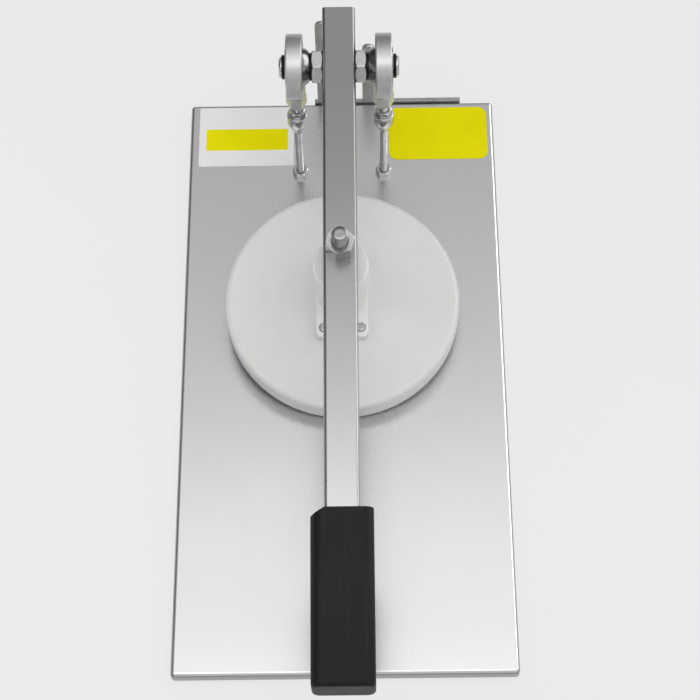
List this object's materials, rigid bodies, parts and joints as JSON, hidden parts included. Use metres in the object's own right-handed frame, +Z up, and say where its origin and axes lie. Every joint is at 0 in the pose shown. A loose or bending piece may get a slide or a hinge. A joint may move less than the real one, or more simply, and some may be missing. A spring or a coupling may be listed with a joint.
{
  "type": "manual lever dough press",
  "caption": "Hand press that flattens dough balls: sheet base, rod-end pivots on threaded posts, square-tube lever with soft grip and a round plastic press plate.",
  "frame": {"origin": "on the table, at the middle of the whole press's footprint, below the centre plane of the lever", "axes": "+X to the right across the base, +Y from the hand grip towards the pivot posts, +Z up"},
  "size_m": [0.25, 0.5444, 0.1798],
  "materials": {
    "satin_stainless": "satin stainless sheet",
    "lever_stainless": "satin stainless tube",
    "bright_steel": "bright zinc-plated steel",
    "polished_steel": "polished steel",
    "ball_steel": "hardened ground steel",
    "grey_steel": "dull steel strip",
    "black_steel": "black oxide",
    "bronze": "machined bronze",
    "white_plastic": "satin food-grade white plastic",
    "black_grip": "matte black moulded rubber",
    "black_rubber": "matte black rubber",
    "white_film": "blank white film",
    "yellow_film": "blank yellow film"
  },
  "bodies": {
    "base": {"base_plate": "satin_stainless", "backing_plate": "satin_stainless", "rubber_feet": "black_rubber", "post_washers": "bright_steel", "post_base_nuts": "bright_steel", "post_under_nuts": "bright_steel", "white_plaque": "white_film", "plaque_stripe": "yellow_film", "yellow_plaque": "yellow_film", "rear_bracket": "grey_steel", "bracket_screws": "bright_steel", "bracket_nuts": "bright_steel"},
    "posts": {"post_rods": "bright_steel", "post_collars": "bright_steel", "post_jam_nuts": "bright_steel", "left_rod_end": "polished_steel", "right_rod_end": "polished_steel", "bearing_races": "bronze"},
    "lever": {"lever_tube": "lever_stainless", "grip": "black_grip", "pivot_axle": "bright_steel", "axle_lock_nuts": "bright_steel", "axle_spacers": "black_steel", "axle_retaining_rings": "black_steel", "bearing_balls": "ball_steel", "press_stud": "bright_steel", "press_stud_nut": "bright_steel", "press_stud_jam_nut": "bright_steel", "press_hub": "white_plastic", "hub_screws": "bright_steel", "press_plate": "white_plastic"}
  },
  "joints": [
    {"name": "height_adjust", "type": "slide", "parent": "base", "child": "posts", "axis": [0, 0, 1], "range_m": [0, 0.004]},
    {"name": "lever_hinge", "type": "hinge", "parent": "posts", "child": "lever", "pos_m": [0, 0.19821, 0.155], "axis": [-1, 0, 0], "range_deg": [0, 105]}
  ]
}
